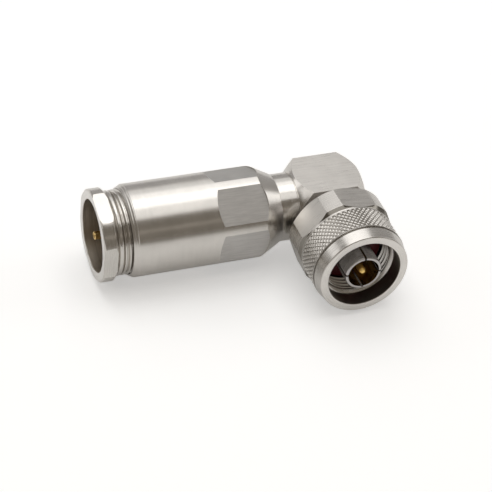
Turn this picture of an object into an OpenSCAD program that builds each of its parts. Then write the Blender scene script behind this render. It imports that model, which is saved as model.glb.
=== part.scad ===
// Right-angle coaxial plug: a coupling nut on one side of a square elbow block,
// and a clamp barrel with its screwed clamp nut on the other.
// The mating plane of the outer contact is y = 0 and the mouth faces -Y.
// The cable axis is the line y = reach, z = 0, and the cable leaves towards -X.

/* [Layout] */
// Distance from the mating plane to the cable axis
reach = 25.7; // [25.7:0.1:28]
// Distance from the coupling axis to the outer face of the clamp nut
cable_reach = 52; // [52:0.1:53]

/* [Coupling nut] */
// Radius of the knurled belt, and half the width across the flats
belt_r = 10.42; // [10.42:0.02:10.8]
// Radius to which the corners of the hexagon are turned
corner_r = 11.1; // [11:0.05:11.3]
// Turn of one corner from the top of the hexagon, at rest
hex_turn = 20.5; // [0:0.5:59.5]
// Length of the nut
nut_l = 16.75; // [16.75:0.05:16.95]
// Length of the hexagon from the back of the nut
hex_l = 7.2; // [7:0.1:7.4]
// Length of the plain tapered band at the mouth
band_l = 2.8; // [2.6:0.1:3.2]
// Depth of the belt's diamond knurl
knurl_depth = 0.3; // [0.2:0.02:0.32]
// Diamonds round the belt in each row
knurl_n = 28; // [24:1:30]
// Radius of the plain lead-in bore
lead_r = 8.1; // [8.05:0.01:8.15]
// Depth of the lead-in bore
lead_l = 3.7; // [3:0.1:4]
// Major radius of the coupling thread, 5/8-24
thread_r = 7.94; // [7.94:0.01:8]
// Pitch of the coupling thread
thread_p = 1.058; // [1.058:0.001:1.059]

/* [Contacts] */
// Outer radius of the slotted outer contact
contact_r = 4.1; // [4:0.01:4.2]
// Bore radius of the slotted outer contact
contact_bore_r = 3.45; // [3.4:0.01:3.5]
// Width of the four slots
slot_w = 0.45; // [0.3:0.05:0.6]
// Length of the slots
slot_l = 8; // [6:0.5:8.5]
// Radius of the centre pin at its tip
pin_r = 0.82; // [0.8:0.01:0.84]
// Radius of the centre pin behind its tip
pin_body_r = 1.52; // [1.45:0.01:1.55]
// Distance from the mating plane back to the pin's tip
pin_recess = 0.5; // [0.5:0.1:1.5]
// Outer radius of the long cable contact
cable_contact_r = 0.9; // [0.85:0.05:1.1]
// Radius of the hole that takes the cable's inner conductor
cable_hole_r = 0.6; // [0.5:0.05:0.65]

/* [Elbow block] */
// Length of the block along the cable axis
block_l = 15.1; // [14.5:0.1:15.5]
// Width of the block along the coupling axis
block_w = 13; // [13:0.2:14]
// Height of the block
block_h = 15.6; // [15:0.2:16]
// Length of the turned bevel at each end of the block
block_bevel = 2.4; // [1.5:0.1:2.5]
// Radius of the plain neck ring
neck_r = 7.44; // [7.4:0.02:7.6]

/* [Clamp barrel] */
// Outer radius of the barrel and of the clamp nut
barrel_r = 10.08; // [10.08:0.02:10.3]
// Depth of the six wrench flats below the barrel's round
flat_depth = 0.86; // [0.8:0.01:0.95]
// Turn of the wrench flats about the cable axis
barrel_turn = 10.5; // [0:0.5:59.5]
// Distance from the coupling axis to the cable end of the barrel
barrel_end = 45.5; // [45.4:0.1:46]
// Wall of the barrel round the clamping thread
barrel_wall = 0.82; // [0.78:0.01:0.86]
// Pitch of the clamping thread
clamp_p = 1; // [1:0.05:1.05]

/* [Clamp nut] */
// Wall of the clamp nut's shank, from the cable's jacket to the thread
shank_wall = 1.3; // [1.2:0.02:1.36]
// Length of the clamp nut's flange
flange_l = 3.1; // [3:0.05:3.2]
// Depth of the clamp nut's wrench flats below its round
flange_flat_depth = 0.77; // [0.7:0.01:0.85]

/* [Hidden] */
$fn = 96;
// Overlap by which a cut passes through a face
cut = 1;
// Radial clearance of a running fit
run_gap = 0.06;
// Radial clearance of a piece that is pushed into another and stays there
snug = 0.02;
// Clearance at the bottom of a hole or the end of a piece
end_gap = 0.2;
// Small bevels on the turned edges, from the finest to the boldest
fine_edge = 0.15;
edge = 0.35;
// Depth of a 60 degree thread of pitch p, with its crests and roots cut flat
function thread_h(p) = 0.54 * p;

// Coupling nut, with its stations measured from the cable axis towards the mouth
nut_proud = 0.4;
nut_front = reach + nut_proud;
nut_back = nut_front - nut_l;
hex_front = nut_back + hex_l;
// The corners' bevel, and the plain rim between it and the knurl
hex_bevel_l = 0.7;
hex_rim_l = 0.25;
groove_w = 0.4;
groove_depth = 0.55;
groove_front = nut_front - band_l;
// Steps of the tapered band below the belt, at the groove and at the mouth
band_step = 0.14;
face_step = 0.56;
thread_start = nut_front - lead_l;
// Knurl: rows of flat-topped diamonds between two plain rims, each row turned by half a step
rim_l = 0.2;
knurl_rows = 4;
knurl_back = hex_front + rim_l;
knurl_front = groove_front - groove_w - rim_l;
knurl_core_r = belt_r - knurl_depth;
knurl_row_l = (knurl_front - knurl_back) / (knurl_rows + 1);
// The diamonds are rooted this far inside the core, where their corners nearly meet
diamond_sink = 0.12;
diamond_gap = 0.03;
diamond_back = knurl_core_r - diamond_sink;
diamond_r = min(knurl_row_l, diamond_back * tan(180 / knurl_n)) - diamond_gap;
thread_minor_r = thread_r - thread_h(thread_p);
sink_l = 0.6;
sink_step = 0.6;

// Boss that carries the nut, and the shoulder that the red gasket sits on
boss_gap = 0.369;
boss_r = thread_minor_r - boss_gap;
collar_step = 0.8;
collar_gap = 0.5;
collar_front = nut_back - collar_gap;
seat_depth = 9.3;
seat = reach - seat_depth;
gasket_t = 1.4;
gasket_step = 0.1;
gasket_front = seat + gasket_t;
// The outer contact is undercut where the gasket grips it
undercut = 0.2;
contact_base_wall = 1.1;
contact_base_r = contact_r + contact_base_wall;
contact_base_l = 6;
contact_base_back = seat - contact_base_l;
bead_recess = 2;

// The retaining ring lies in one groove of the boss and one of the nut
ring_t = 0.8;
ring_setback = 2.9;
ring_back = nut_back + ring_setback;
ring_front = ring_back + ring_t;
ring_float = 0.4;
ring_bite = 0.7;
ring_rise = 0.75;
ring_groove_r = boss_r - ring_bite;
ring_outer_r = boss_r + ring_rise;
ring_split = 2.4;
// The nut's web in front of the ring, and the relief between the web and the thread
web_t = 1;
web_front = ring_front + web_t;
relief_l = 3.6;
relief_front = web_front + relief_l;
relief_step = 0.1;

// Centre pin: its round end, its straight tip, the cone behind that and its root
pin_nose = 0.7;
pin_straight = 4.3;
pin_cone = 1.2;
pin_root = 2.2;
// Cross hole that joins the pin and the cable contact
cross_r = 0.8;

// Elbow block and neck, with their stations measured from the coupling axis
line_r = contact_bore_r;
line_wall = 0.1;
block_near = 7.2;
neck_l = 4.25;
neck_end = block_near + neck_l;
neck_undercut = 0.3;
neck_undercut_l = 0.25;
spigot_step = 0.84;
spigot_r = neck_r - spigot_step;
spigot_l = 8.05;
spigot_end = neck_end + spigot_l;
bead_wall = 1.4;
bead_r = spigot_r - bead_wall;
bead_l = 6.05;
bead_end = neck_end + bead_l;
// Groove of the spigot's seal, and the seal's section
seal_setback = 1;
seal_w = 1.6;
seal_depth = 0.9;
seal_r = seal_depth / 2 - snug;
seal_start = neck_end + seal_setback;
seal_end = seal_start + seal_w;

// Barrel: the taper from the neck, the wrench flats and the bevel at the cable end
taper_step = 0.36;
taper_r = neck_r + taper_step;
taper_l = 4.45;
taper_end = neck_end + taper_l;
barrel_bevel_l = 1.1;
barrel_bevel = 0.62;
barrel_flat_r = barrel_r - flat_depth;
// The wrench flats' round ends at their middle, and the radius of the disc cutter
flats_start = neck_end + 3.6;
flats_l = 11.3;
flats_end = flats_start + flats_l;
cutter_r = 9.8;

// Clamp: the thread, the nut's shank and the parts that it squeezes
clamp_bore_r = barrel_r - barrel_wall;
clamp_r = clamp_bore_r - run_gap;
entry_r = clamp_r - shank_wall;
flange_back = cable_reach - flange_l;
flange_edge = 0.45;
shank_l = 9.9;
shank_end = flange_back - shank_l;
shank_relief = 0.6;
shank_relief_l = 0.2;
// Rounded bead between the relief and the thread
bead_proud_l = 0.6;
bead_slope = 0.25;
bead_drop = 0.15;
washer_t = 1.1;
washer_lip = 0.3;
// Slack that the clamp nut can still be screwed in by
clamp_slack = 1.5;
gasket_l = 4.4;
gasket_lip = 0.4;
gasket_hollow = 0.6;
gasket_start = shank_end - washer_t - clamp_slack;
clamp_start = gasket_start - gasket_l;
clamp_flange_t = 1.6;
step_end = clamp_start - clamp_flange_t;
// Barrel's bore round the braid, and the braid clamp's bore and tapered nose
braid_step = 0.9;
braid_r = clamp_r - braid_step;
braid_wall = 2.1;
braid_bore_r = braid_r - braid_wall;
braid_gap = 0.4;
nose_gap = 1.5;
nose_start = spigot_end + nose_gap;
nose_root_gap = 3;
// The cable contact's end stands just inside the clamp nut's face
contact_recess = 0.4;
contact_end = cable_reach - contact_recess;
contact_split = 0.3;
cable_hole_l = 7;
// Turns of the clamp nut's two pairs of wrench flats about the cable axis at rest
flat_turns = [-15, 165, -93, 87];

// Puts a shape turned about Z on the coupling axis, with its z running out of the mouth
module on_coupling_axis() translate([0, reach, 0]) rotate([90, 0, 0]) children();
// Puts a shape turned about Z on the cable axis, with its z running towards the cable
module on_cable_axis() translate([0, reach, 0]) rotate([0, -90, 0]) children();
// A ring turned about Z, from z0 to z1
module ring(z0, z1, outer, inner) difference() {
    rod(z0, z1, outer);
    rod(z0 - cut, z1 + cut, inner);
}
// A plain rod or hole about Z, from z0 to z1
module rod(z0, z1, r) translate([0, 0, z0]) cylinder(h = z1 - z0, r = r);
// What a hexagonal bar of this width across its flats leaves of a larger round
module around_hex(z0, z1, flats) difference() {
    rod(z0, z1, flats);
    translate([0, 0, z0 - cut]) cylinder(h = z1 - z0 + 2 * cut, r = flats / 2 / cos(30), $fn = 6);
}
// The V grooves of a thread in a wall of radius r; side is 1 for a screw and -1 for a hole
module thread_grooves(z0, z1, r, p, side) rotate_extrude()
    for (z = [z0 + p / 2 : p : z1 - p / 2])
        polygon([[r - side * thread_h(p), z - p / 16], [r + side * p / 10, z - 0.48 * p],
            [r + side * p / 10, z + 0.48 * p], [r - side * thread_h(p), z + p / 16]]);

module coupling_nut_outline() {
    rear_bevel = corner_r - belt_r + fine_edge;
    groove_r = belt_r - groove_depth;
    face_r = belt_r - face_step;
    bevel_front = hex_front - hex_rim_l;
    rotate_extrude() polygon([
        [0, nut_back], [belt_r - fine_edge, nut_back], [corner_r, nut_back + rear_bevel],
        [corner_r, bevel_front - hex_bevel_l], [belt_r, bevel_front], [belt_r, knurl_back],
        [knurl_core_r, knurl_back], [knurl_core_r, knurl_front], [belt_r, knurl_front],
        [belt_r, groove_front - groove_w], [groove_r, groove_front - groove_w],
        [groove_r, groove_front], [belt_r - band_step, groove_front],
        [face_r, nut_front - fine_edge], [face_r - fine_edge, nut_front], [0, nut_front]]);
}
// One diamond of the knurl, rooted in the belt's core and with its top corners on the belt
module diamond() {
    top_r = diamond_r / 2;
    translate([diamond_back, 0, 0]) rotate([0, 90, 0]) cylinder(
        h = sqrt(pow(belt_r, 2) - pow(top_r, 2)) - diamond_back, r1 = diamond_r, r2 = top_r, $fn = 4);
}
module knurl() for (row = [1 : knurl_rows], k = [1 : knurl_n])
    translate([0, 0, knurl_back + row * knurl_row_l])
        rotate([0, 0, (k + row / 2) * 360 / knurl_n]) diamond();
module coupling_nut() color("silver") on_coupling_axis() difference() {
    union() {
        coupling_nut_outline();
        knurl();
    }
    rotate([0, 0, 90 + hex_turn]) around_hex(nut_back - cut, hex_front, 2 * belt_r);
    rod(nut_back - cut, nut_front, boss_r + run_gap);
    rod(ring_back, ring_front, ring_outer_r + run_gap);
    // The relief, the thread's minor bore and grooves, and the plain lead-in
    rod(web_front, relief_front, thread_r + relief_step);
    rod(web_front + fine_edge, nut_front + cut, thread_minor_r);
    thread_grooves(relief_front - thread_p / 4, thread_start + thread_p / 4, thread_minor_r, thread_p, -1);
    rod(thread_start, nut_front + cut, lead_r);
    // Countersink at the first thread
    translate([0, 0, thread_start - sink_l])
        cylinder(h = sink_l, r1 = lead_r - sink_step, r2 = lead_r);
}
// Split spring ring, open at the bottom
module retaining_ring() color("peru") on_coupling_axis() difference() {
    ring(ring_back + snug, ring_front - snug, ring_outer_r, ring_groove_r + run_gap);
    translate([-ring_split / 2, -ring_outer_r - cut, ring_back - cut])
        cube([ring_split, ring_outer_r, ring_t + 2 * cut]);
}
module interface_gasket() color("darkred") on_coupling_axis()
    ring(seat, gasket_front, boss_r + gasket_step, contact_r - undercut / 2);
// Slotted spring sleeve on a base that is pressed into the boss
module outer_contact() color("silver") on_coupling_axis() difference() {
    union() {
        rod(contact_base_back, seat, contact_base_r);
        rod(seat, reach - undercut, contact_r - undercut);
        rod(gasket_front, reach - undercut, contact_r);
        translate([0, 0, reach - undercut])
            cylinder(h = undercut, r1 = contact_r, r2 = contact_r - undercut);
    }
    rod(contact_base_back - cut, reach + cut, contact_bore_r);
    for (turn = [0, 90]) rotate([0, 0, turn])
        translate([-contact_r - cut, -slot_w / 2, reach - slot_l])
            cube([2 * (contact_r + cut), slot_w, slot_l + cut]);
}
// Gold pin with a cross hole at its root for the cable contact
module centre_pin() color("gold") on_coupling_axis() difference() {
    tip = reach - pin_recess;
    straight = tip - pin_nose;
    cone = straight - pin_straight;
    rotate_extrude() polygon([
        [0, -pin_root], [pin_body_r, -pin_root], [pin_body_r, cone - pin_cone], [pin_r, cone],
        [pin_r, straight], [pin_r - edge, tip], [0, tip]]);
    rotate([0, 90, 0]) rod(-pin_body_r - cut, pin_body_r + cut, cross_r);
}
module front_insulator() color("white") on_coupling_axis()
    ring(contact_base_back + end_gap, seat - bead_recess, contact_bore_r, pin_body_r + snug);

// Flat-sided bar, bevelled at both ends by turning
module block_outline() {
    far = block_l - block_near;
    corner = norm([block_w, block_h]) / 2;
    end_r = block_h / 2 - line_wall;
    root_r = neck_r - line_wall;
    intersection() {
        translate([-block_near, reach - block_w / 2, -block_h / 2])
            cube([block_l, block_w, block_h]);
        on_cable_axis() rotate_extrude() polygon([
            [0, -far], [end_r, -far], [corner, block_bevel - far],
            [corner, block_near - block_bevel], [root_r, block_near], [0, block_near]]);
    }
}
module boss() on_coupling_axis() rotate_extrude() {
    collar_r = boss_r + collar_step;
    groove_end = ring_front + ring_float;
    polygon([
        [0, 0], [collar_r, 0], [collar_r, collar_front], [boss_r, collar_front],
        [boss_r, ring_back], [ring_groove_r, ring_back], [ring_groove_r, groove_end],
        [boss_r, groove_end], [boss_r, seat - fine_edge], [boss_r - fine_edge, seat], [0, seat]]);
}
// Neck with a shallow undercut at the block, and a grooved spigot for the barrel
module neck() on_cable_axis() rotate_extrude() {
    undercut_r = neck_r - neck_undercut;
    undercut_end = block_near + neck_undercut_l;
    seal_root = spigot_r - seal_depth;
    polygon([
        [0, 0], [undercut_r, 0], [undercut_r, undercut_end], [neck_r, undercut_end + fine_edge],
        [neck_r, neck_end], [spigot_r, neck_end], [spigot_r, seal_start],
        [seal_root, seal_start], [seal_root, seal_end], [spigot_r, seal_end],
        [spigot_r, spigot_end], [0, spigot_end]]);
}
module elbow_body() color("silver") difference() {
    union() {
        block_outline();
        boss();
        neck();
    }
    on_coupling_axis() {
        rod(contact_base_back, seat + cut, contact_base_r);
        rod(-line_r, seat, line_r);
    }
    on_cable_axis() {
        rod(0, spigot_end, line_r);
        rod(neck_end, spigot_end + cut, bead_r);
    }
}
// Insulator of the elbow, bored for the pin and for the cable contact
module elbow_insulator() color("white") difference() {
    on_coupling_axis() rod(line_wall - line_r, contact_base_back, line_r - snug);
    on_coupling_axis() rod(-pin_root - end_gap, contact_base_back + cut, pin_body_r + snug);
    on_cable_axis() rod(-line_r, 2 * line_r, cable_contact_r + snug);
}
module neck_insulator() color("white") on_cable_axis()
    ring(neck_end, bead_end, bead_r, cable_contact_r + snug);
// Long gold rod that joins the pin to the cable's inner conductor
module cable_contact() color("gold") on_cable_axis() difference() {
    union() {
        rod(-pin_body_r - end_gap, 2 * pin_body_r, cross_r - snug);
        rod(pin_body_r + end_gap, contact_end - fine_edge, cable_contact_r);
        rod(contact_end - edge, contact_end, cable_contact_r - fine_edge);
    }
    rod(contact_end - cable_hole_l, contact_end + cut, cable_hole_r);
    translate([0, -contact_split / 2, contact_end - cable_hole_l + edge])
        cube([2 * cable_contact_r, contact_split, cable_hole_l]);
}

module barrel_outline() {
    rotate_extrude() polygon([
        [0, neck_end], [taper_r - fine_edge, neck_end], [taper_r, neck_end + fine_edge],
        [barrel_r, taper_end], [barrel_r, barrel_end - barrel_bevel_l],
        [barrel_r - barrel_bevel, barrel_end], [0, barrel_end]]);
}
// One wrench flat, milled by a disc cutter that leaves both its ends round
module barrel_flat() translate([barrel_flat_r, 0, 0]) rotate([0, 90, 0]) intersection() {
    translate([cutter_r - flats_end, 0, 0]) cylinder(h = barrel_r, r = cutter_r);
    translate([-cutter_r - flats_start, 0, 0]) cylinder(h = barrel_r, r = cutter_r);
}
module barrel() color("silver") on_cable_axis() difference() {
    barrel_outline();
    for (turn = [0 : 60 : 300]) rotate([0, 0, turn + 30 - barrel_turn]) barrel_flat();
    rod(neck_end - cut, spigot_end + end_gap, spigot_r);
    // Room for the braid, then the wider bore for the clamp parts and the screwed end
    rod(spigot_end + end_gap, clamp_start, braid_r);
    rod(step_end, barrel_end + cut, clamp_bore_r);
}
module neck_o_ring() color("dimgray") on_cable_axis() rotate_extrude()
    translate([spigot_r - seal_depth / 2, (seal_start + seal_end) / 2]) circle(r = seal_r, $fn = 24);
module clamp_nut() color("silver") on_cable_axis() difference() {
    relief_r = clamp_r - shank_relief;
    relief_start = flange_back - shank_relief_l;
    bead_end = relief_start - 2 * bead_slope;
    thread_end = bead_end - bead_proud_l;
    turns = floor((thread_end - shank_end - edge) / clamp_p);
    union() {
        difference() {
            rotate_extrude() polygon([[0, flange_back], [barrel_r - flange_edge, flange_back],
                [barrel_r, flange_back + flange_edge], [barrel_r, cable_reach - edge],
                [barrel_r - edge, cable_reach], [0, cable_reach]]);
            clamp_flats();
        }
        rotate_extrude() polygon([
            [0, shank_end], [clamp_r - edge, shank_end], [clamp_r, shank_end + edge],
            [clamp_r, bead_end], [clamp_r - bead_drop, bead_end + bead_slope],
            [relief_r, relief_start], [relief_r, flange_back + cut], [0, flange_back + cut]]);
    }
    rod(shank_end - cut, cable_reach + cut, entry_r);
    translate([0, 0, cable_reach - fine_edge])
        cylinder(h = 2 * fine_edge, r1 = entry_r, r2 = entry_r + 2 * fine_edge);
    thread_grooves(thread_end - turns * clamp_p, thread_end, clamp_r, clamp_p, 1);
}
module clamp_flats() for (turn = flat_turns) rotate([0, 0, turn])
    translate([barrel_r - flange_flat_depth, -barrel_r, flange_back - cut])
        cube([barrel_r, 2 * barrel_r, flange_l + 2 * cut]);
module slip_washer() color("silver") on_cable_axis()
    ring(shank_end - washer_t, shank_end, clamp_r - run_gap, entry_r - washer_lip);
// Rubber gasket, hollowed at the cable end so that the washer squeezes it onto the jacket
module cable_gasket() color("dimgray") on_cable_axis() rotate_extrude() {
    inner_r = entry_r - gasket_lip;
    polygon([
        [inner_r, clamp_start], [clamp_r, clamp_start], [clamp_r, gasket_start],
        [clamp_r - edge, gasket_start], [clamp_r - 2 * edge, gasket_start - gasket_hollow],
        [inner_r, gasket_start - end_gap]]);
}
// Flanged sleeve with a tapered nose that the cable's braid is folded over
module braid_clamp() color("silver") on_cable_axis() difference() {
    body_r = braid_r - braid_gap;
    rotate_extrude() polygon([
        [0, nose_start], [braid_bore_r + edge, nose_start], [body_r, step_end - nose_root_gap],
        [body_r, step_end], [clamp_r, step_end], [clamp_r, clamp_start], [0, clamp_start]]);
    rod(spigot_end, clamp_start + cut, braid_bore_r);
}

coupling_nut();
retaining_ring();
interface_gasket();
outer_contact();
centre_pin();
front_insulator();
elbow_body();
elbow_insulator();
neck_insulator();
cable_contact();
barrel();
neck_o_ring();
clamp_nut();
slip_washer();
cable_gasket();
braid_clamp();
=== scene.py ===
import math

import bmesh
import bpy
from mathutils import Matrix, Vector


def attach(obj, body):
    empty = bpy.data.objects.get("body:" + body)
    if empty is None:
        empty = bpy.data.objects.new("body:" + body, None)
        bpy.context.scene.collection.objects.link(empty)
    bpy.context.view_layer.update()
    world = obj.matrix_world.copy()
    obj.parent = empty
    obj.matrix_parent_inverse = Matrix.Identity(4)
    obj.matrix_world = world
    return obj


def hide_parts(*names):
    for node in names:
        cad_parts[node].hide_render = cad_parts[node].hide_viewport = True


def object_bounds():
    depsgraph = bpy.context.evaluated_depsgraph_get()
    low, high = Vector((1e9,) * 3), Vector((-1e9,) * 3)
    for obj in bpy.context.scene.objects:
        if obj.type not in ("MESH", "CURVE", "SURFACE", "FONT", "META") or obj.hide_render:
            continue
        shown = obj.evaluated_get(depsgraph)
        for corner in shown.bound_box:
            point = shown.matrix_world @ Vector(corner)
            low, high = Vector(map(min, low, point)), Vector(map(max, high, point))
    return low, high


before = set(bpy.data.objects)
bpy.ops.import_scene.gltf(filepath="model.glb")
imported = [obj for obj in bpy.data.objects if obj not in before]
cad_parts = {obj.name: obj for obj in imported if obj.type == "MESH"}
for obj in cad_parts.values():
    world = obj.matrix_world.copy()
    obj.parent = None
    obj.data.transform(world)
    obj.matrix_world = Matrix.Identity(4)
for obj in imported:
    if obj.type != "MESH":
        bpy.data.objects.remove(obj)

cad_box = [list(corner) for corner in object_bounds()]

MM = 0.001
ROUND_STEPS = 192
SAME_POINT = 1e-7
ON_PLANE = 1e-8

# Turned pieces are drawn about Z and then laid on one of the elbow's two axes
REACH = 25.7 * MM
COUPLING_AXIS = Matrix.Translation((0, REACH, 0)) @ Matrix.Rotation(math.radians(90), 4, "X")
CABLE_AXIS = Matrix.Translation((0, REACH, 0)) @ Matrix.Rotation(math.radians(-90), 4, "Y")

# Stations and radii that neighbouring pieces share, in millimetres along their own axis
BELT_R = 10.42
BELT_BACK, BELT_FRONT = 16.75, 22.7
THREAD_R, THREAD_MINOR_R, THREAD_PITCH = 7.94, 7.369, 1.058
THREAD_BACK, THREAD_FRONT, THREAD_WALL_R = 17.65, 21.7, 8.16
BOSS_FRONT, SLEEVE_BACK = 16.4, 17.8
BEAD_R, SOCKET_R = 3.45, 5.2
NECK_FRONT = 11.45
BARREL_R, BARREL_FLAT_R = 10.08, 9.22
CLAMP_R, CLAMP_ROOT_R, CLAMP_PITCH = 9.2, 8.66, 1.0
CLAMP_BACK, CLAMP_RELIEF_R = 39.0, 8.6


# Camera

def towards(azimuth, elevation):
    """Directions outward and level, at an azimuth from -Y towards +X and an elevation."""
    outward = Vector((math.sin(azimuth) * math.cos(elevation),
                      -math.cos(azimuth) * math.cos(elevation), math.sin(elevation)))
    return outward, Vector((math.cos(azimuth), math.sin(azimuth), 0))


def place_camera():
    azimuth, elevation, roll = map(math.radians, (-22.993, 38.669, 5.721))
    aim = Vector((-16.82, 25.0, -9.02)) * MM
    distance = 394.5 * MM
    back, level = towards(azimuth, elevation)
    upright = back.cross(level)
    right = level * math.cos(roll) + upright * math.sin(roll)
    up = upright * math.cos(roll) - level * math.sin(roll)
    data = bpy.data.cameras.new("studio_camera")
    data.sensor_width = 36
    data.lens = 130.78
    data.clip_start, data.clip_end = 0.01, 50
    camera = bpy.data.objects.new("studio_camera", data)
    turn = Matrix((right, up, back)).transposed().to_4x4()
    camera.matrix_world = Matrix.Translation(aim + back * distance) @ turn
    bpy.context.collection.objects.link(camera)
    bpy.context.scene.camera = camera


# Light and floor

def softbox(name, azimuth, elevation, distance, width, height, radiance, tint=(1, 1, 1)):
    """A lamp of width by height in metres, turned to the middle of the plug, angles in degrees."""
    outward, level = towards(math.radians(azimuth), math.radians(elevation))
    middle = Vector((-0.02, 0.025, 0))
    data = bpy.data.lights.new(name, "AREA")
    data.shape = "RECTANGLE"
    data.size, data.size_y = width, height
    data.energy = 4 * radiance * width * height
    data.color = tint
    lamp = bpy.data.objects.new(name, data)
    turn = Matrix((level, outward.cross(level), outward)).transposed().to_4x4()
    lamp.matrix_world = Matrix.Translation(middle + outward * distance) @ turn
    bpy.context.collection.objects.link(lamp)


def studio_light():
    room_front, room_back = (0.20, 0.178, 0.15, 1), (0.42, 0.41, 0.40, 1)
    softbox("overhead_front", 0, 73, 0.9, 0.84, 0.38, 0.78)
    softbox("overhead_key", 180, 80, 0.9, 0.84, 0.43, 1.32)
    softbox("overhead_back", 180, 58, 0.9, 0.84, 0.27, 0.85)
    softbox("overhead_far", 180, 40, 0.9, 0.84, 0.30, 0.38)
    softbox("left_rear", -123, 27, 0.9, 0.36, 0.36, 0.75)
    softbox("left_side", -94, 24, 0.9, 0.36, 0.36, 0.60)
    softbox("right_side", 90, 28, 0.9, 0.40, 0.36, 1.1)
    softbox("front_strip", 10, 29, 1.0, 1.2, 0.12, 0.15, (1, 0.93, 0.85))
    world = bpy.data.worlds.new("studio_room")
    bpy.context.scene.world = world
    world.use_nodes = True
    nodes, links = world.node_tree.nodes, world.node_tree.links
    room = nodes["Background"]
    way = nodes.new("ShaderNodeTexCoord")
    split = nodes.new("ShaderNodeSeparateXYZ")
    depth = nodes.new("ShaderNodeMapRange")
    depth.interpolation_type = "SMOOTHSTEP"
    depth.inputs["From Min"].default_value = -0.6
    depth.inputs["From Max"].default_value = 0.9
    walls = nodes.new("ShaderNodeMixRGB")
    walls.inputs["Color1"].default_value = room_front
    walls.inputs["Color2"].default_value = room_back
    links.new(way.outputs["Generated"], split.inputs[0])
    links.new(split.outputs["Y"], depth.inputs["Value"])
    links.new(depth.outputs["Result"], walls.inputs["Fac"])
    links.new(walls.outputs["Color"], room.inputs["Color"])
    room.inputs["Strength"].default_value = 1


def pale_floor():
    half_width = 6
    glow_seen, glow_mirrored = 0.38, 0.13
    bm = bmesh.new()
    bmesh.ops.create_grid(bm, x_segments=8, y_segments=8, size=half_width)
    bmesh.ops.translate(bm, verts=bm.verts, vec=(0, 0, cad_box[0][2]))
    mesh = bpy.data.meshes.new("floor")
    bm.to_mesh(mesh)
    bm.free()
    floor = bpy.data.objects.new("floor", mesh)
    bpy.context.collection.objects.link(floor)
    paper = bpy.data.materials.new("floor_paper")
    paper.use_nodes = True
    nodes, links = paper.node_tree.nodes, paper.node_tree.links
    surface = nodes["Principled BSDF"]
    surface.inputs["Base Color"].default_value = (0.86, 0.86, 0.855, 1)
    surface.inputs["Roughness"].default_value = 0.9
    surface.inputs["Specular IOR Level"].default_value = 0
    rays = nodes.new("ShaderNodeLightPath")
    mirrored = nodes.new("ShaderNodeMath")
    mirrored.operation = "MAXIMUM"
    links.new(rays.outputs["Is Glossy Ray"], mirrored.inputs[0])
    links.new(rays.outputs["Is Transmission Ray"], mirrored.inputs[1])
    seen = nodes.new("ShaderNodeMath")
    seen.operation = "MULTIPLY"
    seen.inputs[1].default_value = glow_seen
    links.new(rays.outputs["Is Camera Ray"], seen.inputs[0])
    glow = nodes.new("ShaderNodeMath")
    glow.operation = "MULTIPLY_ADD"
    glow.inputs[1].default_value = glow_mirrored
    links.new(mirrored.outputs[0], glow.inputs[0])
    links.new(seen.outputs[0], glow.inputs[2])
    surface.inputs["Emission Color"].default_value = (1, 1, 1, 1)
    links.new(glow.outputs[0], surface.inputs["Emission Strength"])
    mesh.materials.append(paper)


# Metal working

def whole(bm):
    return bm.verts[:] + bm.edges[:] + bm.faces[:]


def close_up(bm):
    """Merges what lies on one point and turns all faces outward."""
    bmesh.ops.remove_doubles(bm, verts=bm.verts, dist=SAME_POINT)
    bmesh.ops.recalc_face_normals(bm, faces=bm.faces)


def wire(outline, closed=True, edge=0.0, edge_steps=1):
    """The outline of a turned piece as (station, radius) pairs, with its corners eased by edge."""
    corner_limit = math.radians(160)
    bm = bmesh.new()
    corners = [bm.verts.new((radius * MM, 0, station * MM)) for station, radius in outline]
    for start, end in zip(corners, corners[1:] + corners[:1] if closed else corners[1:]):
        bm.edges.new((start, end))
    if edge:
        sharp = [v for v in corners if len(v.link_edges) == 2 and v.co.x > 0 and
                 (v.link_edges[0].other_vert(v).co - v.co).angle(
                     v.link_edges[1].other_vert(v).co - v.co) < corner_limit]
        bmesh.ops.bevel(bm, geom=sharp, offset=edge * MM, offset_type="OFFSET",
                        segments=edge_steps, profile=0.5, affect="VERTICES", material=-1,
                        clamp_overlap=True)
    return bm


def spin_round(bm, steps):
    """Turns a wire outline into a full round."""
    bmesh.ops.spin(bm, geom=bm.verts[:] + bm.edges[:], cent=(0, 0, 0), axis=(0, 0, 1),
                   dvec=(0, 0, 0), angle=math.tau, steps=steps, use_merge=True)


def turned(outline, closed=True, edge=0.0, edge_steps=1, steps=ROUND_STEPS):
    bm = wire(outline, closed, edge, edge_steps)
    spin_round(bm, steps)
    close_up(bm)
    return bm


def mill(bm, turns, distance):
    """Planes the round down to flats at this distance from its axis."""
    for turn in turns:
        across = Vector((math.cos(math.radians(turn)), math.sin(math.radians(turn)), 0))
        cut = bmesh.ops.bisect_plane(bm, geom=whole(bm), dist=ON_PLANE, plane_no=across,
                                     plane_co=across * distance * MM, clear_outer=True)
        rim = [e for e in cut["geom_cut"] if isinstance(e, bmesh.types.BMEdge) and e.is_boundary]
        bmesh.ops.holes_fill(bm, edges=rim, sides=0)
    bmesh.ops.recalc_face_normals(bm, faces=bm.faces)


def draw_rims(bm, radius):
    """Draws the open rims of a turned skin out to a wall of this radius."""
    rims = [e for e in bm.edges if e.is_boundary]
    for v in bmesh.ops.extrude_edge_only(bm, edges=rims)["geom"]:
        if isinstance(v, bmesh.types.BMVert):
            v.co.xy = v.co.xy.normalized() * radius * MM


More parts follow.
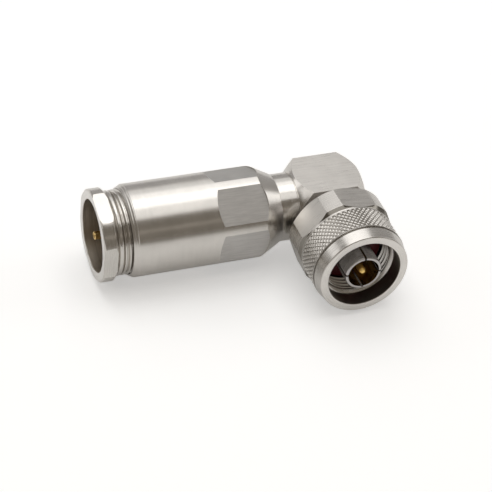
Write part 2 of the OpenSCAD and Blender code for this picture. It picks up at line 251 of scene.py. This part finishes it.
def screw(outline, pitch, back, front, wall, steps=96):
    """A helical thread between two stations, closed by a plain wall on its hidden side."""
    first, spare_rounds = back - 1.5 * pitch, 3
    bm = wire([(station + first, radius) for station, radius in outline], closed=False)
    rounds = math.ceil((front - back) / pitch) + spare_rounds
    bmesh.ops.spin(bm, geom=bm.verts[:] + bm.edges[:], cent=(0, 0, 0), axis=(0, 0, 1),
                   dvec=(0, 0, pitch * MM / steps), angle=math.tau * rounds, steps=steps * rounds)
    bmesh.ops.remove_doubles(bm, verts=bm.verts, dist=SAME_POINT)
    for station, way in ((back, -1), (front, 1)):
        bmesh.ops.bisect_plane(bm, geom=whole(bm), dist=ON_PLANE, plane_no=(0, 0, way),
                               plane_co=(0, 0, station * MM), clear_outer=True)
    draw_rims(bm, wall)
    bmesh.ops.remove_doubles(bm, verts=bm.verts, dist=SAME_POINT)
    bmesh.ops.bridge_loops(bm, edges=[e for e in bm.edges if e.is_boundary])
    bmesh.ops.recalc_face_normals(bm, faces=bm.faces)
    return bm


def bar(low, high):
    """A square-cornered bar between two corners."""
    bm = bmesh.new()
    bmesh.ops.create_cube(bm, size=1)
    low, high = Vector(low) * MM, Vector(high) * MM
    bmesh.ops.scale(bm, verts=bm.verts, vec=high - low)
    bmesh.ops.translate(bm, verts=bm.verts, vec=(low + high) / 2)
    return bm


def join(*parts):
    """Gathers several shapes into one."""
    bm = bmesh.new()
    for part in parts:
        mesh = bpy.data.meshes.new("part")
        part.to_mesh(mesh)
        part.free()
        bm.from_mesh(mesh)
        bpy.data.meshes.remove(mesh)
    return bm


def machine(bm, tool, operation="DIFFERENCE"):
    """Cuts a piece with a tool shape, or keeps only what lies inside it."""
    work = []
    for part in (bm, tool):
        mesh = bpy.data.meshes.new("work")
        part.to_mesh(mesh)
        part.free()
        work.append(bpy.data.objects.new("work", mesh))
        bpy.context.collection.objects.link(work[-1])
    cut = work[0].modifiers.new("cut", "BOOLEAN")
    cut.operation, cut.solver, cut.object = operation, "EXACT", work[1]
    made = bpy.data.meshes.new_from_object(
        work[0].evaluated_get(bpy.context.evaluated_depsgraph_get()))
    result = bmesh.new()
    result.from_mesh(made)
    bpy.data.meshes.remove(made)
    for piece in work:
        bpy.data.objects.remove(piece)
    return result


def smooth(bm, limit):
    """Shades a piece smooth, with crisp edges wherever it turns by more than the limit."""
    for face in bm.faces:
        face.smooth = True
    for e in bm.edges:
        e.smooth = len(e.link_faces) == 2 and e.calc_face_angle(0) < math.radians(limit)


def place(name, bm, axis, body, nodes, finishes, limit=25, ease=0.0, even=True):
    """Puts a finished piece on its axis and its body, in place of its plain solids.

    Edges that turn by more than the limit stay crisp, and are eased by this width."""
    bmesh.ops.transform(bm, matrix=axis, verts=bm.verts)
    smooth(bm, limit)
    mesh = bpy.data.meshes.new(name)
    bm.to_mesh(mesh)
    bm.free()
    piece = bpy.data.objects.new(name, mesh)
    bpy.context.collection.objects.link(piece)
    for finish in finishes:
        mesh.materials.append(FINISH[finish])
    if ease:
        edges = piece.modifiers.new("eased_edges", "BEVEL")
        edges.width, edges.segments, edges.limit_method = ease * MM, 2, "ANGLE"
        edges.angle_limit = math.radians(limit)
        edges.profile = 0.5
    if even:
        shading = piece.modifiers.new("even_shading", "WEIGHTED_NORMAL")
        shading.keep_sharp, shading.thresh = True, 0
    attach(piece, body)
    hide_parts(*nodes)


def dress_bore(bm, back, front, finish):
    """Gives the walls that face the axis between two stations their own finish: here the painted
    shade of the nut and clamp nut bores and the painted gold reflection in the contact sleeve.
    """
    for face in bm.faces:
        centre = face.calc_center_median()
        inward = centre.xy.dot(face.normal.xy) < -0.5 * centre.xy.length
        if inward and back < centre.z / MM < front:
            face.material_index = finish


def dress_band(bm, back, front, inner, outer, finish):
    """Gives what lies between two stations and two radii its own finish: here the painted dark
    bevel and the painted light end faces.
    """
    for face in bm.faces:
        centre = face.calc_center_median()
        if back < centre.z / MM < front and inner < centre.xy.length / MM < outer:
            face.material_index = finish


def dress_flats(bm, distance, back, front, finish):
    """Gives the milled flats at this distance from the axis their own finish."""
    tilt, offset, least_area = 0.01, 0.04, 1e-6
    for face in bm.faces:
        centre, normal = face.calc_center_median(), face.normal
        upright = abs(normal.z) < tilt and abs(centre.dot(normal) / MM - distance) < offset
        if upright and back < centre.z / MM < front and face.calc_area() > least_area:
            face.material_index = finish


# Finishes

def group(name, inputs, outputs):
    """An empty effect with named inputs (name, kind, value) and outputs (name, kind)."""
    tree = bpy.data.node_groups.new(name, "ShaderNodeTree")
    for label, kind, value in inputs:
        socket = tree.interface.new_socket(label, in_out="INPUT", socket_type=kind)
        if value is not None:
            socket.default_value = value
    for label, kind in outputs:
        tree.interface.new_socket(label, in_out="OUTPUT", socket_type=kind)
    return tree, tree.nodes.new("NodeGroupInput"), tree.nodes.new("NodeGroupOutput")


def math_node(tree, operation, first, second=None):
    """One sum on two values or sockets."""
    node = tree.nodes.new("ShaderNodeMath")
    node.operation = operation
    for socket, value in zip(node.inputs, (first, second)):
        if isinstance(value, (int, float)):
            socket.default_value = value
        elif value is not None:
            tree.links.new(value, socket)
    return node.outputs[0]


def from_axis(tree, split):
    """How far a point lies from the axis that its piece is laid about."""
    squares = [math_node(tree, "MULTIPLY", split.outputs[k], split.outputs[k]) for k in (0, 1)]
    return math_node(tree, "SQRT", math_node(tree, "ADD", *squares))


def lines_effect():
    """Fine rings that a turning tool leaves, on walls and end faces alike."""
    tree, given, made = group("turning_lines", (
        ("Vector", "NodeSocketVector", None), ("Lines per m", "NodeSocketFloat", 4000.0)), (
        ("Height", "NodeSocketFloat"), ("Tone", "NodeSocketFloat")))
    split = tree.nodes.new("ShaderNodeSeparateXYZ")
    tree.links.new(given.outputs["Vector"], split.inputs[0])
    rings = tree.nodes.new("ShaderNodeCombineXYZ")
    tree.links.new(split.outputs[2], rings.inputs[0])
    tree.links.new(from_axis(tree, split), rings.inputs[1])
    tree.links.new(math_node(tree, "MULTIPLY", split.outputs[0], 0.02), rings.inputs[2])
    noise = tree.nodes.new("ShaderNodeTexNoise")
    noise.inputs["Detail"].default_value = 3
    noise.inputs["Roughness"].default_value = 0.65
    tree.links.new(rings.outputs[0], noise.inputs["Vector"])
    tree.links.new(given.outputs["Lines per m"], noise.inputs["Scale"])
    tree.links.new(noise.outputs["Fac"], made.inputs["Height"])
    tree.links.new(noise.outputs["Fac"], made.inputs["Tone"])
    return tree


def grain_effect():
    """Brushed or milled grain, drawn out along the axis or across it."""
    tree, given, made = group("metal_grain", (
        ("Vector", "NodeSocketVector", None), ("Across", "NodeSocketFloat", 4000.0),
        ("Along", "NodeSocketFloat", 100.0), ("Waviness", "NodeSocketFloat", 0.3)), (
        ("Height", "NodeSocketFloat"), ("Tone", "NodeSocketFloat")))
    stretch = tree.nodes.new("ShaderNodeCombineXYZ")
    tree.links.new(given.outputs["Across"], stretch.inputs[0])
    tree.links.new(given.outputs["Across"], stretch.inputs[1])
    tree.links.new(given.outputs["Along"], stretch.inputs[2])
    drawn = tree.nodes.new("ShaderNodeVectorMath")
    drawn.operation = "MULTIPLY"
    tree.links.new(given.outputs["Vector"], drawn.inputs[0])
    tree.links.new(stretch.outputs[0], drawn.inputs[1])
    noise = tree.nodes.new("ShaderNodeTexNoise")
    noise.inputs["Scale"].default_value = 1
    noise.inputs["Detail"].default_value = 3
    noise.inputs["Roughness"].default_value = 0.6
    tree.links.new(drawn.outputs[0], noise.inputs["Vector"])
    tree.links.new(given.outputs["Waviness"], noise.inputs["Distortion"])
    tree.links.new(noise.outputs["Fac"], made.inputs["Height"])
    tree.links.new(noise.outputs["Fac"], made.inputs["Tone"])
    return tree


def haze_effect():
    """Faint blotches that handling and plating leave in a metal's tone."""
    tree, given, made = group("plating_haze", (
        ("Vector", "NodeSocketVector", None), ("Size", "NodeSocketFloat", 260.0)), (
        ("Tone", "NodeSocketFloat"),))
    noise = tree.nodes.new("ShaderNodeTexNoise")
    noise.inputs["Detail"].default_value = 2
    tree.links.new(given.outputs["Vector"], noise.inputs["Vector"])
    tree.links.new(given.outputs["Size"], noise.inputs["Scale"])
    tree.links.new(noise.outputs["Fac"], made.inputs["Tone"])
    return tree


def blend_range(tree, value, low, high, from_low=0.35, from_high=0.65):
    """Spreads a noise, or a measure between two others, over low to high."""
    node = tree.nodes.new("ShaderNodeMapRange")
    node.inputs["From Min"].default_value = from_low
    node.inputs["From Max"].default_value = from_high
    node.inputs["To Min"].default_value = low
    node.inputs["To Max"].default_value = high
    tree.links.new(value, node.inputs["Value"])
    return node.outputs["Result"]


def metal(name, axis, colour, roughness, pattern, settings, depth, tone, uneven=0.05,
          painted_recess_shade=None):
    """A plated metal with its working marks, laid out about one of the two axes.

    The marks are depth micrometres deep and change the tone and the roughness by these shares.
    Painted shade in hollows takes an inner radius, an outer radius and the darkness at the inner
    one, for knurl pits and thread roots."""
    finish = bpy.data.materials.new(name)
    finish.use_nodes = True
    tree = finish.node_tree
    surface = tree.nodes["Principled BSDF"]
    surface.inputs["Metallic"].default_value = 1
    where = tree.nodes.new("ShaderNodeTexCoord")
    lay = tree.nodes.new("ShaderNodeMapping")
    lay.vector_type = "TEXTURE"
    lay.inputs["Location"].default_value = axis.translation
    lay.inputs["Rotation"].default_value = axis.to_euler()
    tree.links.new(where.outputs["Object"], lay.inputs["Vector"])
    marks = tree.nodes.new("ShaderNodeGroup")
    marks.node_tree = EFFECTS[pattern]
    tree.links.new(lay.outputs[0], marks.inputs["Vector"])
    for label, value in settings.items():
        marks.inputs[label].default_value = value
    haze = tree.nodes.new("ShaderNodeGroup")
    haze.node_tree = EFFECTS["haze"]
    tree.links.new(lay.outputs[0], haze.inputs["Vector"])
    shade = math_node(tree, "MULTIPLY",
                      blend_range(tree, marks.outputs["Tone"], 1 - tone, 1 + tone),
                      blend_range(tree, haze.outputs["Tone"], 0.97, 1.03))
    # Painted shade: the colour darkens towards the first radius, in knurl pits and thread roots
    if painted_recess_shade:
        inner, outer, dark = painted_recess_shade
        split = tree.nodes.new("ShaderNodeSeparateXYZ")
        tree.links.new(lay.outputs[0], split.inputs[0])
        depth_shade = blend_range(tree, from_axis(tree, split), dark, 1, inner * MM, outer * MM)
        shade = math_node(tree, "MULTIPLY", shade, depth_shade)
    tint = tree.nodes.new("ShaderNodeMix")
    tint.data_type, tint.blend_type = "RGBA", "MULTIPLY"
    tint.clamp_factor = False
    tint.inputs["Factor"].default_value = 1
    tint.inputs[6].default_value = (*colour, 1)
    tree.links.new(shade, tint.inputs[7])
    tree.links.new(tint.outputs[2], surface.inputs["Base Color"])
    sheen = blend_range(tree, marks.outputs["Tone"], roughness - uneven, roughness + uneven)
    tree.links.new(sheen, surface.inputs["Roughness"])
    bump = tree.nodes.new("ShaderNodeBump")
    bump.inputs["Strength"].default_value = 1
    bump.inputs["Distance"].default_value = depth * 1e-6
    tree.links.new(marks.outputs["Height"], bump.inputs["Height"])
    tree.links.new(bump.outputs[0], surface.inputs["Normal"])
    return finish


def lathed(name, axis, colour, roughness, lines, depth, tone=0.03, uneven=0.05, painted_recess_shade=None):
    """Metal with the rings of a turning tool, so many lines a metre."""
    FINISH[name] = metal(name, axis, colour, roughness, "lines", {"Lines per m": lines},
                         depth, tone, uneven, painted_recess_shade)


def milled(name, axis, colour, roughness, across, along, waviness, depth, tone):
    """Metal with a milled grain, so many lines a metre across its axis and along it."""
    FINISH[name] = metal(name, axis, colour, roughness, "grain",
                         {"Across": across, "Along": along, "Waviness": waviness}, depth, tone)


def moulded(name, colour, roughness, grain, depth):
    """Rubber or plastic with a fine moulded grain."""
    finish = metal(name, CABLE_AXIS, colour, roughness, "grain",
                   {"Across": grain, "Along": grain, "Waviness": 0.0}, depth, 0.05, 0.06)
    finish.node_tree.nodes["Principled BSDF"].inputs["Metallic"].default_value = 0
    FINISH[name] = finish


EFFECTS = {"lines": lines_effect(), "grain": grain_effect(), "haze": haze_effect()}
FINISH = {}
NICKEL = (0.66, 0.635, 0.60)
# A darker nickel for the coupling nut, so that its highlights read dimmer: painted shade
NUT_PAINTED_SHADE_NICKEL = (0.60, 0.577, 0.545)
# A lighter nickel for the knurled belt: painted light
KNURL_PAINTED_LIGHT_NICKEL = (0.70, 0.675, 0.64)
# A lighter nickel on the coupling nut's front end face: painted light
NUT_END_PAINTED_LIGHT_NICKEL = (0.76, 0.735, 0.70)
# A lighter nickel on the clamp nut's end face: painted light
CLAMP_END_PAINTED_LIGHT_NICKEL = (0.80, 0.78, 0.75)
CLAMP_FLAT_NICKEL = (0.64, 0.62, 0.585)
GREY_NICKEL = (0.56, 0.546, 0.528)
# A darker nickel for the contact sleeve and boss deep in the nut's mouth: painted shade
MOUTH_PAINTED_SHADE_NICKEL = (0.52, 0.50, 0.49)
# A dark nickel on the coupling nut's corner bevel: a painted dark reflection
BEVEL_PAINTED_SHADE_NICKEL = (0.24, 0.225, 0.20)
# A darker, browner nickel inside the coupling nut's mouth: painted shade
NUT_BORE_PAINTED_SHADE = (0.36, 0.33, 0.295)
# A darker, browner nickel inside the clamp nut's bore: painted shade
CLAMP_BORE_PAINTED_SHADE = (0.60, 0.54, 0.46)
# A gold-brown tint on the contact sleeve's bore: a painted reflection of the gold pin
BORE_PAINTED_GOLD_REFLECTION = (0.56, 0.44, 0.27)
PIN_GOLD = (0.95, 0.68, 0.24)
CABLE_GOLD = (0.90, 0.64, 0.26)
BRONZE = (0.60, 0.40, 0.24)

lathed("nut_turned_painted_shade", COUPLING_AXIS, NUT_PAINTED_SHADE_NICKEL, 0.27, 5200, 0.9)
milled("nut_flats", COUPLING_AXIS, NICKEL, 0.32, 120, 4200, 0.2, 2.0, 0.04)
lathed("nut_face_painted_light", COUPLING_AXIS, NUT_END_PAINTED_LIGHT_NICKEL, 0.3, 5200, 0.9)
lathed("nut_bevel_painted_shade", COUPLING_AXIS, BEVEL_PAINTED_SHADE_NICKEL, 0.14, 5200, 0.4)
# The knurl is lighter overall and darker towards the bottom of its pits: painted light and painted
# shade
lathed("nut_knurled_painted_light_and_shade", COUPLING_AXIS, KNURL_PAINTED_LIGHT_NICKEL, 0.26, 5200, 0.6, tone=0.06,
       painted_recess_shade=(10.12, 10.36, 0.62))
# The thread darkens towards its roots: painted shade
lathed("nut_thread_painted_shade", COUPLING_AXIS, NICKEL, 0.22, 5200, 0.5, painted_recess_shade=(7.94, 7.42, 0.22))
lathed("nut_bore_painted_shade", COUPLING_AXIS, NUT_BORE_PAINTED_SHADE, 0.34, 4200, 1.2, tone=0.08)
lathed("barrel_turned", CABLE_AXIS, NICKEL, 0.23, 4200, 0.35, tone=0.025, uneven=0.015)
milled("barrel_flats", CABLE_AXIS, GREY_NICKEL, 0.36, 3200, 260, 0.6, 4.0, 0.08)
milled("block_flats", CABLE_AXIS, NICKEL, 0.32, 3000, 160, 0.5, 2.4, 0.05)
lathed("block_turned", CABLE_AXIS, NICKEL, 0.2, 5200, 0.9)
lathed("contact_nickel_painted_shade", COUPLING_AXIS, MOUTH_PAINTED_SHADE_NICKEL, 0.3, 6000, 0.5)
lathed("contact_bore_painted_reflection", COUPLING_AXIS, BORE_PAINTED_GOLD_REFLECTION, 0.16, 6000, 0.4)
lathed("clamp_nickel", CABLE_AXIS, NICKEL, 0.2, 5200, 0.9)
milled("clamp_flats", CABLE_AXIS, CLAMP_FLAT_NICKEL, 0.26, 160, 4200, 0.2, 1.6, 0.04)
lathed("clamp_face_painted_light", CABLE_AXIS, CLAMP_END_PAINTED_LIGHT_NICKEL, 0.3, 5200, 0.9)
lathed("clamp_bore_painted_shade", CABLE_AXIS, CLAMP_BORE_PAINTED_SHADE, 0.40, 3600, 1.6, tone=0.1)
lathed("pin_gold", COUPLING_AXIS, PIN_GOLD, 0.42, 7000, 0.4)
lathed("cable_gold", CABLE_AXIS, CABLE_GOLD, 0.24, 7000, 0.4)
lathed("ring_bronze", COUPLING_AXIS, BRONZE, 0.3, 5200, 1.0, tone=0.06)
moulded("ptfe", (0.80, 0.79, 0.76), 0.45, 6000, 2.0)
moulded("red_silicone", (0.12, 0.010, 0.014), 0.45, 3000, 3.0)
moulded("black_rubber", (0.025, 0.025, 0.026), 0.55, 3000, 4.0)


# Coupling nut

def coupling_nut_shell():
    back, corner_back, corner_front, bevel_front, front = 9.35, 10.18, 15.6, 16.3, 26.1
    corner_r, bed_r, band_r, rim_r, bore_r = 11.1, 10.0, 10.28, 9.86, 7.06
    ring_back, ring_front, ring_r = 12.25, 13.05, 7.81
    chamber_back, chamber_r = 14.05, 8.04
    mouth_back, mouth_r = 22.4, 8.1
    groove_back, groove_front, groove_r = 22.9, 23.3, 9.87
    hexagon_turn = 80.5
    flats, bore, bevel, face = 1, 2, 3, 4
    bm = turned([
        (back, bore_r), (back, 10.27), (corner_back, corner_r), (corner_front, corner_r),
        (bevel_front, BELT_R), (BELT_BACK, BELT_R), (BELT_BACK, bed_r), (BELT_FRONT, bed_r),
        (BELT_FRONT, BELT_R), (groove_back, BELT_R), (groove_back, groove_r),
        (groove_front, groove_r), (groove_front, band_r), (25.95, rim_r), (front, 9.71),
        (front, 8.2), (26.0, mouth_r), (mouth_back, mouth_r), (THREAD_BACK, chamber_r),
        (chamber_back, chamber_r), (chamber_back, bore_r), (ring_front, bore_r),
        (ring_front, ring_r), (ring_back, ring_r), (ring_back, bore_r)], edge=0.04)
    mill(bm, [hexagon_turn + 60 * k for k in range(6)], BELT_R)
    dress_flats(bm, BELT_R, back, bevel_front + 0.2, flats)
    # The mouth's bore takes a darker, browner nickel: painted shade
    dress_bore(bm, mouth_back - 0.1, front - 0.05, bore)
    # The corner bevel takes the dark finish, a painted dark reflection
    dress_band(bm, corner_front + 0.02, bevel_front - 0.02, BELT_R + 0.01, corner_r - 0.01,
               bevel)
    # The front end face takes a lighter nickel: painted light
    dress_band(bm, front - 0.04, front + 0.1, 8.15, 9.75, face)
    place("coupling_nut_shell", bm, COUPLING_AXIS, "nut", ["coupling_nut"],
          ["nut_turned_painted_shade", "nut_flats", "nut_bore_painted_shade", "nut_bevel_painted_shade", "nut_face_painted_light"],
          ease=0.05)


def knurled_belt():
    """Belt with two families of V grooves that cross and leave flat-topped diamonds."""
    grooves, diamonds_long, steps_each = 59, 5, 14
    depth, groove_w, back_r = 0.26, 0.5, 9.9
    length = (BELT_FRONT - BELT_BACK) * MM
    level_skin = 1e-6
    bm = bmesh.new()
    ends = [bm.verts.new((BELT_R * MM, 0, station * MM)) for station in (BELT_BACK, BELT_FRONT)]
    bmesh.ops.subdivide_edges(bm, edges=[bm.edges.new(ends)],
                              cuts=diamonds_long * steps_each - 1)
    spin_round(bm, grooves * steps_each)
    bmesh.ops.recalc_face_normals(bm, faces=bm.faces)
    for v in bm.verts:
        around = math.atan2(v.co.y, v.co.x) / math.tau * grooves
        along = (v.co.z - BELT_BACK * MM) / length * diamonds_long
        away = 2 * min(abs((turns + 0.5) % 1 - 0.5) for turns in (around + along, around - along))
        sink = depth * max(0.0, 1 - away / groove_w) * MM
        v.co.xy *= 1 - sink / (BELT_R * MM)
    # Each face is split along its lower diagonal, so that the grooves run clean
    for face in bm.faces[:]:
        a, b, c, d = face.verts
        heights = [v.co.xy.length for v in (a, b, c, d)]
        low = (a, c) if heights[0] + heights[2] < heights[1] + heights[3] else (b, d)
        if max(heights) - min(heights) > level_skin:
            bmesh.utils.face_split(face, *low)
    draw_rims(bm, back_r)
    # The knurl's finish is a lighter nickel darkened in the pits: painted light and painted shade
    place("knurled_belt", bm, COUPLING_AXIS, "nut", ["coupling_nut"], ["nut_knurled_painted_light_and_shade"],
          limit=40, even=False)


def coupling_thread():
    pitch = THREAD_PITCH
    root_r = THREAD_R - 0.02
    bm = screw([(0, THREAD_MINOR_R), (pitch / 8, THREAD_MINOR_R), (0.48 * pitch, root_r),
                (0.64 * pitch, root_r), (pitch, THREAD_MINOR_R)],
               pitch, THREAD_BACK, THREAD_FRONT, THREAD_WALL_R)
    place("coupling_thread", bm, COUPLING_AXIS, "nut", ["coupling_nut"], ["nut_thread_painted_shade"])
    # Plain land and countersink in front of the first turn
    land_back, land_front, sink_front, sink_r = 21.6, 21.85, 22.45, 8.03
    bm = turned([(land_back, THREAD_MINOR_R), (land_front, THREAD_MINOR_R), (sink_front, sink_r),
                 (sink_front, THREAD_WALL_R), (land_back, THREAD_WALL_R)], edge=0.03)
    place("thread_countersink", bm, COUPLING_AXIS, "nut", ["coupling_nut"], ["nut_turned_painted_shade"])


# Elbow block, neck and boss

def elbow_block():
    back, front, corner_r = -7.9, 7.2, 10.154
    half_height, half_depth = 7.8, 6.5
    flats = 1
    block = machine(
        bar((-half_height, -half_depth, back), (half_height, half_depth, front)),
        turned([(back, 0), (back, 7.7), (-5.5, corner_r), (4.8, corner_r), (front, 7.34),
                (front, 0)], closed=False), "INTERSECT")
    for face in block.faces:
        if abs(face.normal.z) < 0.01 and max(abs(face.normal.x), abs(face.normal.y)) > 0.999:
            face.material_index = flats
    place("elbow_block", block, CABLE_AXIS, "connector_body", ["elbow_body"],
          ["block_turned", "block_flats"], ease=0.05)


def elbow_neck():
    back, ring_r, neck_r = 7.0, 7.14, 7.44
    spigot_front, spigot_r = 19.5, 6.6
    seal_back, seal_front, seal_r = 12.45, 14.05, 5.7
    bm = turned([
        (back, BEAD_R), (back, ring_r), (7.45, ring_r), (7.6, neck_r), (NECK_FRONT, neck_r),
        (NECK_FRONT, spigot_r), (seal_back, spigot_r), (seal_back, seal_r), (seal_front, seal_r),
        (seal_front, spigot_r), (spigot_front, spigot_r), (spigot_front, SOCKET_R),
        (NECK_FRONT, SOCKET_R), (NECK_FRONT, BEAD_R)], edge=0.04)
    place("elbow_neck", bm, CABLE_AXIS, "connector_body", ["elbow_body"], ["block_turned"])


def elbow_boss():
    back, collar_front, collar_r = 6.3, 8.85, 7.8
    boss_r, ring_back, ring_front, ring_r = 7.0, 12.25, 13.45, 6.3
    socket_back = 10.4
    bm = turned([
        (back, BEAD_R), (back, collar_r), (collar_front, collar_r), (collar_front, boss_r),
        (ring_back, boss_r), (ring_back, ring_r), (ring_front, ring_r), (ring_front, boss_r),
        (16.25, boss_r), (BOSS_FRONT, 6.85), (BOSS_FRONT, SOCKET_R), (socket_back, SOCKET_R),
        (socket_back, BEAD_R)], edge=0.04)
    # The boss takes the darker contact nickel, painted shade deep in the nut's mouth
    place("elbow_boss", bm, COUPLING_AXIS, "connector_body", ["elbow_body"],
          ["contact_nickel_painted_shade"])


# Mating face

def spring_contact():
    back, front = 10.4, 25.7
    root_r, sleeve_r = 3.9, 4.1
    slot_back, half_slot, reach = 17.7, 0.225, 4.6
    bore = 1
    bm = turned([
        (back, BEAD_R), (back, SOCKET_R), (BOSS_FRONT, SOCKET_R), (BOSS_FRONT, root_r),
        (SLEEVE_BACK, root_r), (SLEEVE_BACK, sleeve_r), (25.5, sleeve_r), (front, 3.9),
        (front, BEAD_R)], edge=0.04, steps=128)
    slots = join(bar((-reach, -half_slot, slot_back), (reach, half_slot, 26)),
                 bar((-half_slot, -reach, slot_back), (half_slot, reach, 26)))
    bm = machine(bm, slots)
    # The sleeve's bore takes the gold-brown tint, a painted reflection of the pin
    dress_bore(bm, back + 0.1, front - 0.1, bore)
    place("spring_contact", bm, COUPLING_AXIS, "connector_body", ["outer_contact"],
          ["contact_nickel_painted_shade", "contact_bore_painted_reflection"])


def pin():
    back, shank_front, shank_r = -2.2, 19.0, 1.52
    tip_back, tip_r, front = 20.2, 0.82, 25.2
    bm = turned([
        (back, 0), (back, shank_r), (shank_front, shank_r), (tip_back, tip_r), (24.5, tip_r),
        (25.14, 0.5), (front, 0.42), (front, 0)], closed=False, steps=96)
    place("pin", bm, COUPLING_AXIS, "connector_body", ["centre_pin"], ["pin_gold"],
          limit=28)


def gasket():
    inner_r, outer_r = 3.92, 7.08
    bm = turned([(BOSS_FRONT, inner_r), (BOSS_FRONT, outer_r), (SLEEVE_BACK, outer_r),
                 (SLEEVE_BACK, inner_r)], edge=0.3, edge_steps=3)
    place("gasket", bm, COUPLING_AXIS, "connector_body", ["interface_gasket"],
          ["red_silicone"])


# Cable side

def lens_cutters():
    """Six tools whose two arcs leave the round ends of the wrench flats."""
    flat_front, flat_middle, arc_r, thick = 26.35, 20.7, 9.8, 3
    first_turn = 19.5
    middle = Vector((-flat_middle * MM, 0, 0))
    tools = []
    for k in range(6):
        lens = bmesh.new()
        bmesh.ops.create_circle(lens, segments=256, radius=arc_r * MM, cap_ends=False)
        bmesh.ops.translate(lens, verts=lens.verts, vec=((arc_r - flat_front) * MM, 0, 0))
        bmesh.ops.bisect_plane(lens, geom=lens.verts[:] + lens.edges[:], dist=ON_PLANE,
                               plane_co=middle, plane_no=(1, 0, 0), clear_outer=True)
        bmesh.ops.mirror(lens, geom=lens.verts[:] + lens.edges[:], axis="X",
                         merge_dist=SAME_POINT, matrix=Matrix.Translation(middle).inverted())
        bmesh.ops.remove_doubles(lens, verts=lens.verts, dist=SAME_POINT)
        bmesh.ops.holes_fill(lens, edges=lens.edges, sides=0)
        solid = bmesh.ops.extrude_face_region(lens, geom=lens.faces[:])["geom"]
        bmesh.ops.translate(lens, verts=[v for v in solid if isinstance(v, bmesh.types.BMVert)],
                            vec=(0, 0, thick * MM))
        bmesh.ops.recalc_face_normals(lens, faces=lens.faces)
        lay = (Matrix.Rotation(math.radians(first_turn + 60 * k), 4, "Z")
               @ Matrix.Translation((BARREL_FLAT_R * MM, 0, 0))
               @ Matrix.Rotation(math.radians(90), 4, "Y"))
        bmesh.ops.transform(lens, verts=lens.verts, matrix=lay)
        tools.append(lens)
    return join(*tools)


def barrel():
    front, taper_front = 45.5, 15.9
    spigot_front, spigot_r = 19.7, 6.62
    chamber_front, chamber_r, thread_r = 30.4, 8.3, 9.26
    flats_back, flats_front, flats = 15, 27, 1
    bm = turned([
        (NECK_FRONT, spigot_r), (NECK_FRONT, 7.65), (11.6, 7.8), (taper_front, BARREL_R),
        (44.4, BARREL_R), (44.5, 9.96), (44.62, 9.95), (44.95, 9.77), (45.02, 9.68),
        (45.12, 9.68), (front, 9.46), (front, thread_r), (chamber_front, thread_r),
        (chamber_front, chamber_r), (spigot_front, chamber_r), (spigot_front, spigot_r)],
        steps=240)
    bm = machine(bm, lens_cutters())
    dress_flats(bm, BARREL_FLAT_R, flats_back, flats_front, flats)
    place("barrel_shell", bm, CABLE_AXIS, "connector_body", ["barrel"],
          ["barrel_turned", "barrel_flats"], limit=20, ease=0.04)


def clamp_nut_piece():
    flange_back, front, bore_r = 48.9, 52.0, 7.9
    flat_turns, flat_r = (-15, 165, -93, 87), 9.31
    bore, flats, face = 1, 2, 3
    bm = turned([
        (CLAMP_BACK, bore_r), (CLAMP_BACK, CLAMP_ROOT_R), (47.2, CLAMP_ROOT_R), (47.45, 8.9),
        (47.6, 9.12), (47.8, CLAMP_R), (48.1, CLAMP_R), (48.35, 9.1), (48.55, 8.88),
        (48.7, CLAMP_RELIEF_R), (flange_back, CLAMP_RELIEF_R), (flange_back, 9.63),
        (49.35, BARREL_R), (51.65, BARREL_R), (front, 9.73), (front, 8.05), (51.85, bore_r)],
        edge=0.03)
    mill(bm, flat_turns, flat_r)
    # The bore takes a darker, browner nickel: painted shade
    dress_bore(bm, CLAMP_BACK - 0.5, front - 0.1, bore)
    dress_flats(bm, flat_r, flange_back - 0.1, front + 0.1, flats)
    # The end face takes a lighter nickel: painted light
    dress_band(bm, front - 0.05, front + 0.1, 8.1, 9.7, face)
    place("clamp_nut_piece", bm, CABLE_AXIS, "clamp", ["clamp_nut"],
          ["clamp_nickel", "clamp_bore_painted_shade", "clamp_flats", "clamp_face_painted_light"],
          ease=0.04)


def clamp_nut_thread():
    pitch = CLAMP_PITCH
    root_r = CLAMP_ROOT_R + 0.02
    thread_back, thread_front = 39.3, 47.25
    bm = screw([(0, root_r), (pitch / 8, root_r), (0.42 * pitch, CLAMP_R),
                (0.7 * pitch, CLAMP_R), (pitch, root_r)],
               pitch, thread_back, thread_front, CLAMP_RELIEF_R)
    place("clamp_nut_thread", bm, CABLE_AXIS, "clamp", ["clamp_nut"], ["clamp_nickel"])


def hollow_contact():
    back, front, rod_r = 1.72, 51.6, 0.9
    hole_back, hole_r = 44.6, 0.6
    slot_back, half_slot = 44.95, 0.15
    bm = turned([
        (back, 0), (back, rod_r), (51.45, rod_r), (front, 0.75), (front, 0.66), (51.5, hole_r),
        (hole_back, hole_r), (hole_back, 0)], closed=False, steps=64)
    bm = machine(bm, bar((0, -half_slot, slot_back), (2, half_slot, 52)))
    place("hollow_contact", bm, CABLE_AXIS, "connector_body", ["cable_contact"],
          ["cable_gold"])


bpy.context.scene.view_settings.view_transform = "Standard"
place_camera()
studio_light()
pale_floor()
coupling_nut_shell()
knurled_belt()
coupling_thread()
elbow_block()
elbow_neck()
elbow_boss()
spring_contact()
pin()
gasket()
barrel()
clamp_nut_piece()
clamp_nut_thread()
hollow_contact()
# The pieces hidden inside keep their plain solids and take a finish each
for node, finish in (("retaining_ring", "ring_bronze"), ("front_insulator", "ptfe"),
                     ("elbow_insulator", "ptfe"), ("neck_insulator", "ptfe"),
                     ("neck_o_ring", "black_rubber"), ("cable_gasket", "black_rubber"),
                     ("slip_washer", "clamp_nickel"), ("braid_clamp", "clamp_nickel")):
    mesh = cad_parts[node].data
    mesh.materials.clear()
    mesh.materials.append(FINISH[finish])
